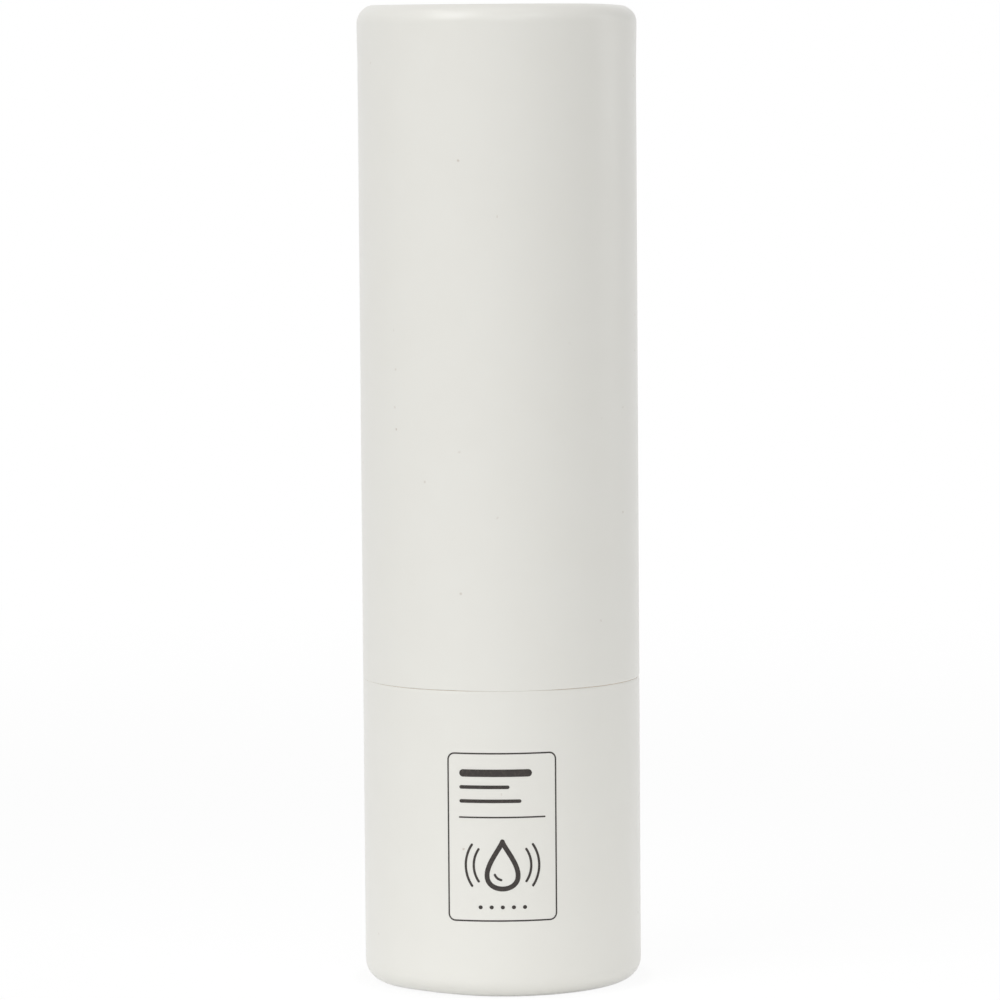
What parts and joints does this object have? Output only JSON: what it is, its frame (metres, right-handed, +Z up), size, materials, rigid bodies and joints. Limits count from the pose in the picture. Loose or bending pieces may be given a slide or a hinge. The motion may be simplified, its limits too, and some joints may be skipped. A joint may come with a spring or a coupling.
{
  "type": "lip balm stick",
  "caption": "Round twist-up lip balm stick: a tall lift-off cap over a plastic sleeve, on a base that turns a screw and raises the balm.",
  "frame": {"origin": "centre of the underside, on the surface that the stick stands on", "axes": "+Z up along the stick, from the base to the cap; the front with the printed panel faces -Y"},
  "size_m": [0.019, 0.019, 0.0669],
  "materials": {
    "coated_board": "satin",
    "disc_board": "matte",
    "inner_plastic": "satin",
    "sleeve_plastic": "satin",
    "screw_plastic": "satin",
    "balm_wax": "satin"
  },
  "bodies": {
    "base": {"base_tube": "coated_board", "base_disc": "disc_board", "drive_cup": "inner_plastic", "spindle": "screw_plastic"},
    "sleeve": {"sleeve": "sleeve_plastic"},
    "carrier": {"carrier": "screw_plastic", "balm": "balm_wax"},
    "cap": {"cap_tube": "coated_board", "cap_disc": "disc_board", "cap_liner": "inner_plastic"}
  },
  "joints": [
    {"name": "twist", "type": "hinge", "parent": "base", "child": "sleeve", "pos_m": [0, 0, 0], "axis": [0, 0, -1], "range_deg": [0, 2340]},
    {"name": "balm_rise", "type": "slide", "parent": "sleeve", "child": "carrier", "axis": [0, 0, 1], "range_m": [0, 0.026]},
    {"name": "cap_pull", "type": "slide", "parent": "sleeve", "child": "cap", "axis": [0, 0, 1], "range_m": [0, 0.05]}
  ],
  "couplings": [
    {"joint": "balm_rise", "follows": "twist", "m_per_rad": 0.00063662}
  ]
}
